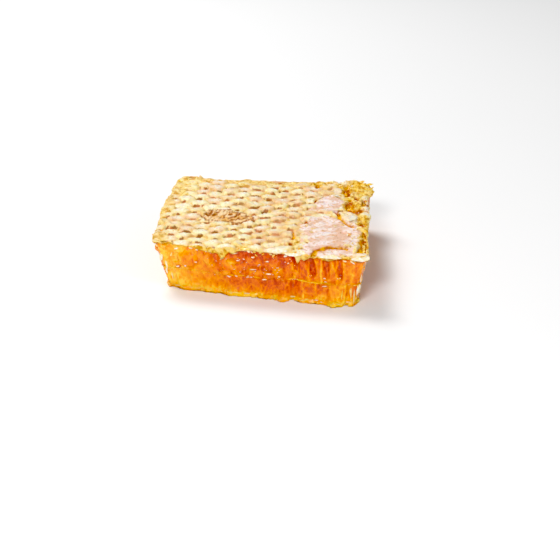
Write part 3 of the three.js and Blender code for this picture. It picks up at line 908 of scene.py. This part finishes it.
def make_flakes():
    """Thin flakes of wax along the top edge, painted highlight flecks on the beads, slivers in the
    cut, and crumbs all over.
    """
    pick = np.random.default_rng(SEED + 3)
    rows = cut_flakes(pick)
    half, tall, turn, cut_tone, proud = np.array([row[3:] for row in rows]).T
    cut_middles, cut_axes = on_cut(rows, half, tall, 0.1 + 0.3 * tall, turn, proud)
    top_middles, top_axes, top_tone = top_flakes(pick)  # drawn after the cut's, from one generator
    middles = np.vstack([cut_middles, top_middles])
    vertices, faces = lumps(middles, np.concatenate([cut_axes, top_axes]), 0.24, 0.6)
    tone = np.zeros((len(vertices), 4))
    tone[:, 0] = np.repeat(np.append(cut_tone, top_tone), len(vertices) // len(middles))
    mesh_piece("wax_flakes_and_glints", vertices, faces, flake_wax_and_glint(), (), {"tone": tone})


# ---- materials -------------------------------------------------------------------------
def linear(red, green, blue):
    """A display colour, 0 to 255, as the linear RGBA that shaders take."""
    def one(c):
        c /= 255
        return c / 12.92 if c <= 0.04045 else ((c + 0.055) / 1.055) ** 2.4
    return (one(red), one(green), one(blue), 1.0)


class Shader:
    """A short way to write a material's node tree. Colours are sockets or display colours."""

    def __init__(self, name):
        self.material = bpy.data.materials.new(name)
        self.material.use_nodes = True
        self.tree = self.material.node_tree
        self.tree.nodes.clear()
        self.surface = self.node("ShaderNodeBsdfPrincipled")
        output = self.node("ShaderNodeOutputMaterial")
        self.join(self.surface.outputs["BSDF"], output.inputs["Surface"])

    def node(self, kind, **settings):
        made = self.tree.nodes.new(kind)
        for key, value in settings.items():
            setattr(made, key, value)
        return made

    def join(self, source, target):
        """Link a socket to an input, or give the input a value."""
        if isinstance(source, bpy.types.NodeSocket):
            self.tree.links.new(source, target)
        else:
            target.default_value = source

    def set(self, **values):
        """Inputs of the surface, by their names with _ for a space."""
        for key, value in values.items():
            self.join(value, self.surface.inputs[key.replace("_", " ")])

    def position(self, stretch=(1, 1, 1)):
        """The point on the block in millimetres, stretched."""
        coordinates = self.node("ShaderNodeTexCoord")
        mapping = self.node("ShaderNodeMapping")
        mapping.inputs["Scale"].default_value = [s / MM for s in stretch]
        self.join(coordinates.outputs["Object"], mapping.inputs["Vector"])
        return mapping.outputs["Vector"]

    def noise(self, size, detail=3, rough=0.55, where=None, warp=0.0):
        """Noise from 0 to 1 with features of the given size in millimetres."""
        made = self.node("ShaderNodeTexNoise")
        self.join(where or self.position(), made.inputs["Vector"])
        made.inputs["Scale"].default_value = 1 / size
        made.inputs["Detail"].default_value = detail
        made.inputs["Roughness"].default_value = rough
        made.inputs["Distortion"].default_value = warp
        return made.outputs["Fac"]

    def mask(self, name):
        """The four channels of a mesh attribute."""
        read = self.node("ShaderNodeAttribute", attribute_name=name)
        parts = self.node("ShaderNodeSeparateColor")
        self.join(read.outputs["Color"], parts.inputs["Color"])
        return (*(parts.outputs[c] for c in ("Red", "Green", "Blue")), read.outputs["Alpha"])

    def math(self, operation, a, b):
        made = self.node("ShaderNodeMath", operation=operation)
        self.join(a, made.inputs[0])
        self.join(b, made.inputs[1])
        return made.outputs["Value"]

    def times(self, a, b):
        return self.math("MULTIPLY", a, b)

    def add(self, total, *values):
        for value in values:
            total = self.math("ADD", total, value)
        return total

    def span(self, value, low, high, start=0.0, end=1.0):
        """value taken smoothly from low..high to start..end, and kept there."""
        made = self.node("ShaderNodeMapRange", clamp=True, interpolation_type="SMOOTHSTEP")
        sockets = ("Value", "From Min", "From Max", "To Min", "To Max")
        for socket, number in zip(sockets, (value, low, high, start, end)):
            self.join(number, made.inputs[socket])
        return made.outputs["Result"]

    def blend(self, factor, a, b):
        """From colour a to colour b. The node's colours are inputs 6 and 7 and output 2."""
        made = self.node("ShaderNodeMix", data_type="RGBA")
        self.join(factor, made.inputs[0])
        for colour, socket in ((a, made.inputs[6]), (b, made.inputs[7])):
            self.join(linear(*colour) if isinstance(colour, tuple) else colour, socket)
        return made.outputs[2]

    def cover(self, colour, *layers):
        """A colour under layers of others, each a (how much, colour) pair."""
        for factor, over in layers:
            colour = self.blend(factor, colour, over)
        return colour

    def ramp(self, factor, stops):
        """A colour by its place among the stops, which are (place, display colour) pairs."""
        made = self.node("ShaderNodeValToRGB")
        band = made.color_ramp.elements
        while len(band) < len(stops):
            band.new(0.5)
        for element, (place, _) in zip(band, stops):
            element.position = place
        for element, (_, colour) in zip(band, stops):
            element.color = linear(*colour)
        self.join(factor, made.inputs["Fac"])
        return made.outputs["Color"]

    def bumps(self, *layers):
        """Bump from (height, depth in millimetres) pairs."""
        normal = None
        for height, depth in layers:
            made = self.node("ShaderNodeBump")
            made.inputs["Distance"].default_value = depth * MM
            self.join(height, made.inputs["Height"])
            if normal:
                self.join(normal, made.inputs["Normal"])
            normal = made.outputs["Normal"]
        self.set(Normal=normal)


def capping_wax():
    """Pale capping wax: cream caps, painted highlights, brown dashes of painted shade, rosy smears,
    torn ochre and open honey.
    """
    s = Shader("capping_wax")
    smear, torn, yellow, opened = s.mask("marks")
    crease, dash_pit_shade, own, flesh = s.mask("relief")
    ridge, fibre, lifted, crest_highlight = s.mask("tone")
    cloud = s.noise(6, 3)
    patchy = s.noise(2.6, 4)
    mottle = s.noise(1.2, 4)
    speck = s.noise(0.6, 3, 0.7)
    grit = s.noise(0.8, 2, 0.6, warp=1.0)

    # The near-white layer on the crest of each cap is a painted highlight.
    cream = s.cover(
        s.blend(s.span(cloud, 0.38, 0.62), (254, 234, 170), (246, 214, 126)),
        (s.span(own, 0.05, 0.4, 0.75, 0.0), (242, 194, 160)),
        (s.span(own, 0.6, 0.9, 0.0, 0.8), (255, 242, 188)),
        (s.span(mottle, 0.5, 0.64, 0, 0.6), (242, 206, 112)),
        (s.span(patchy, 0.5, 0.62, 0, 0.45), (242, 200, 160)),
        (s.times(s.span(speck, 0.36, 0.54), crest_highlight), (255, 253, 238)),
        (s.span(grit, 0.6, 0.7, 0, 0.35), (216, 160, 84)),
    )
    # gap colours the creases between caps: partly the wax's own yellow, partly painted shade.
    gap = s.blend(s.span(cloud, 0.4, 0.6), (232, 184, 56), (224, 166, 100))
    # dash is the brown of the painted shade in the dashes, pits and dimples between caps.
    dash = s.blend(s.span(patchy, 0.42, 0.58), (158, 100, 18), (200, 118, 58))
    dash_shading = s.span(s.add(dash_pit_shade, s.span(speck, 0.3, 0.7, -0.15, 0.15)), 0.18, 0.62, 0, 0.95)
    tan = s.blend(s.span(patchy, 0.38, 0.62), (242, 200, 136), (224, 164, 112))
    dragged = s.add(s.times(ridge, 0.25), s.times(cloud, 0.75))
    rosy = s.cover(
        s.blend(s.span(dragged, 0.42, 0.58), (240, 198, 172), (255, 236, 230)),
        (s.span(mottle, 0.52, 0.64, 0, 0.8), (222, 170, 112)),
        (s.span(speck, 0.66, 0.76, 0, 0.6), (196, 140, 96)),
    )
    ochre = s.blend(s.span(mottle, 0.4, 0.6), (252, 208, 66), (208, 146, 4))
    ochre = s.blend(s.span(patchy, 0.52, 0.66, 0, 0.7), ochre, (250, 232, 150))
    crumbly = s.span(s.add(yellow, s.span(mottle, 0.3, 0.7, -0.3, 0.3)), 0.25, 0.85)
    fibrous = s.add(s.times(fibre, 0.6), s.times(speck, 0.6))
    straw = s.blend(s.span(patchy, 0.42, 0.6), (250, 218, 168), (238, 180, 92))
    bark = s.blend(s.span(fibrous, 0.42, 0.85), straw, (176, 104, 14))
    # ring is a darker band round the edge of the torn wax: painted shadow.
    ring = s.times(s.span(torn, 0.08, 0.35), s.span(torn, 0.5, 0.9, 1, 0))
    ring = s.times(ring, s.span(patchy, 0.38, 0.52))
    amber = s.blend(s.span(patchy, 0.4, 0.6), (250, 190, 26), (190, 98, 4))
    colour = s.cover(
        cream,
        (s.times(crease, 0.85), gap),
        (dash_shading, dash),
        (s.times(flesh, 0.65), tan),
        (s.span(smear, 0.2, 0.6), rosy),
        (s.span(yellow, 0, 0.5, 0, 0.55), (255, 218, 108)),
        (crumbly, ochre),
        (s.span(torn, 0.2, 0.6), bark),
        (s.times(ring, 0.85), (170, 100, 10)),
        (s.span(opened, 0.2, 0.6), amber),
        (s.times(lifted, 0.8), s.blend(patchy, (255, 246, 226), (248, 214, 176))),
    )
    rough = s.add(s.span(mottle, 0.3, 0.7, 0.3, 0.58), s.times(opened, -0.26))
    s.bumps((mottle, 0.4), (speck, 0.2))
    s.set(Base_Color=colour, Roughness=rough, Specular_IOR_Level=0.35)
    s.set(Subsurface_Weight=0.18, Subsurface_Radius=(1.0, 0.55, 0.2), Subsurface_Scale=0.9 * MM)
    s.set(Coat_Weight=0.15, Coat_Roughness=0.12)
    return s.material


# Honey from the darkest to the lightest, each with the glow where it comes.
HONEY_STOPS = (
    (0.0, (196, 62, 0)),
    (0.25, (230, 106, 0)),
    (0.5, (242, 142, 0)),
    (0.75, (252, 170, 14)),
    (1.0, (255, 206, 66)),
)


def honey():
    """Wet comb honey at a cut: deep amber to pale gold under a clear skin."""
    if "comb_honey" in bpy.data.materials:
        return bpy.data.materials["comb_honey"]
    s = Shader("comb_honey")
    glow, near_rib, _, _ = s.mask("marks")
    cloud = s.noise(2.0, 4)
    grain = s.noise(0.8, 3, where=s.position((1, 1, 0.25)))
    ripple = s.noise(1.3, 3, 0.5)
    fleck = s.noise(0.9, 2, 0.6, warp=0.8)
    level = s.add(
        glow,
        s.span(cloud, 0.25, 0.75, -0.13, 0.13),
        s.span(fleck, 0.56, 0.7, 0, 0.3),
        s.span(fleck, 0.32, 0.42, -0.16, 0),
        s.span(grain, 0.3, 0.7, -0.06, 0.08),
        s.times(near_rib, 0.06),
    )
    s.bumps((ripple, 0.45), (grain, 0.12))
    s.set(Base_Color=s.ramp(level, HONEY_STOPS), Roughness=s.span(cloud, 0.3, 0.7, 0.1, 0.24))
    s.set(Subsurface_Weight=0.3, Subsurface_Radius=(1.0, 0.4, 0.08), Subsurface_Scale=1.3 * MM)
    s.set(Specular_IOR_Level=0.25, Coat_Weight=0.6, Coat_Roughness=0.02)
    return s.material


def clear_honey():
    """The clear, wet skin of a bead of honey."""
    s = Shader("clear_honey")
    cloud = s.noise(1.5, 2)
    s.bumps((s.noise(0.6, 1), 0.05))
    s.set(Base_Color=s.ramp(s.span(cloud, 0.3, 0.7, 0.1, 0.6), HONEY_STOPS))
    s.set(Roughness=s.span(cloud, 0.3, 0.7, 0.02, 0.06), Coat_Weight=1.0, Coat_Roughness=0.02)
    return s.material


def flake_wax_and_glint():
    """Thin flakes: near white, or lemon to ochre, by their tone. Near-white flecks on beads are
    painted highlights.
    """
    s = Shader("flake_wax_and_glint")
    tone = s.mask("tone")[0]
    mottle = s.noise(0.9, 3)
    pale_wax_and_glint = s.blend(s.span(mottle, 0.35, 0.65), (255, 250, 236), (252, 226, 176))
    lemon = s.blend(s.span(mottle, 0.35, 0.65), (255, 226, 96), (238, 170, 28))
    s.bumps((mottle, 0.15))
    s.set(Base_Color=s.blend(s.span(tone, 0.15, 0.8), pale_wax_and_glint, lemon))
    s.set(Roughness=s.span(mottle, 0.3, 0.7, 0.12, 0.34), Coat_Weight=0.6, Coat_Roughness=0.05)
    s.set(Subsurface_Weight=0.2, Subsurface_Radius=(1.0, 0.6, 0.25), Subsurface_Scale=0.8 * MM)
    return s.material


def yellow_wax():
    """Soft yellow wax, wetted with honey."""
    if "comb_wax" in bpy.data.materials:
        return bpy.data.materials["comb_wax"]
    s = Shader("comb_wax")
    cloud = s.noise(4, 3)
    mottle = s.noise(1.1, 4)
    colour = s.blend(s.span(cloud, 0.35, 0.65), (255, 194, 28), (252, 160, 8))
    colour = s.blend(s.span(mottle, 0.52, 0.7, 0, 0.75), colour, (254, 224, 120))
    s.bumps((mottle, 0.2), (s.noise(0.5, 2), 0.06))
    s.set(Base_Color=colour, Roughness=s.span(mottle, 0.3, 0.7, 0.2, 0.45))
    s.set(Subsurface_Weight=0.3, Subsurface_Radius=(1.0, 0.5, 0.12), Subsurface_Scale=1.4 * MM)
    s.set(Specular_IOR_Level=0.3, Coat_Weight=0.35, Coat_Roughness=0.06)
    return s.material


# ---- stage, light and camera -----------------------------------------------------------
def make_stage():
    """A wide, plain, pale floor."""
    half = 3.0  # metres
    mesh = bpy.data.meshes.new("floor")
    square = [(-half, -half, 0), (half, -half, 0), (half, half, 0), (-half, half, 0)]
    mesh.from_pydata(square, [], [(0, 1, 2, 3)])
    floor = bpy.data.objects.new("floor", mesh)
    bpy.context.collection.objects.link(floor)
    s = Shader("floor_white")
    colour = s.blend(s.noise(160, 2), (247, 247, 247), (245.4, 245.4, 245.4))
    s.set(Base_Color=colour, Roughness=0.7, Specular_IOR_Level=0.2)
    mesh.materials.append(s.material)


def set_up(name, data, aim, azimuth, elevation, distance):
    """A lamp or camera that faces a point. Azimuth 0 is in front of the block, 90 on the right."""
    a, e = math.radians(azimuth), math.radians(elevation)
    away = Vector((math.sin(a) * math.cos(e), -math.cos(a) * math.cos(e), math.sin(e)))
    made = bpy.data.objects.new(name, data)
    made.location = aim + away * distance
    made.rotation_euler = away.to_track_quat("Z", "Y").to_euler()
    bpy.context.collection.objects.link(made)
    return made


def soft_box(name, azimuth, elevation, distance, width, height, power):
    """A rectangular light that points at the block."""
    light = bpy.data.lights.new(name, "AREA")
    light.shape = "RECTANGLE"
    light.size, light.size_y = width, height
    light.energy = power
    set_up(name, light, Vector((0, 0, 0)), azimuth, elevation, distance)


def make_lights():
    """A window-like key light from behind, two weaker fills, and a dim white surrounding."""
    world = bpy.data.worlds.new("studio")
    world.use_nodes = True
    background = world.node_tree.nodes["Background"].inputs
    background["Color"].default_value = (1, 1, 1, 1)
    background["Strength"].default_value = 0.24
    bpy.context.scene.world = world
    soft_box("key", -140, 52, 0.9, 0.4, 0.4, 5.6)
    soft_box("front_fill", -12, 36, 0.7, 0.2, 0.12, 2.5)
    soft_box("side_fill", 62, 30, 0.9, 0.3, 0.3, 1.4)


def make_camera():
    """The lens, distance and angle that give the block its place in the picture."""
    camera = bpy.data.cameras.new("camera")
    camera.lens = 85
    camera.sensor_width = 36
    camera.clip_start = 0.01
    aim = Vector((5.19, 2.4, -8.46)) * MM
    bpy.context.scene.camera = set_up("camera", camera, aim, 4, 24.5, 0.4794)


def set_film():
    """Plain display colours, with the haze of the pale surroundings taken off the dark tones."""
    view = bpy.context.scene.view_settings
    view.view_transform = "Standard"
    view.use_curve_mapping = True
    view.curve_mapping.black_level = (0.03, 0.03, 0.03)
    view.curve_mapping.update()


# ---- the whole -------------------------------------------------------------------------
make_camera()
make_lights()
make_stage()
make_base()
make_cells("lower_comb", 0, lambda p: np.full(len(p), Z_LOWER - 0.3), midrib_height, ["lower_cells"])
make_cells("upper_comb", 1, midrib_height, lambda p: np.full(len(p), Z_CAPPING + 0.2), ["upper_cells"])
make_midrib()
make_capping()
make_beads()
make_flakes()
set_film()
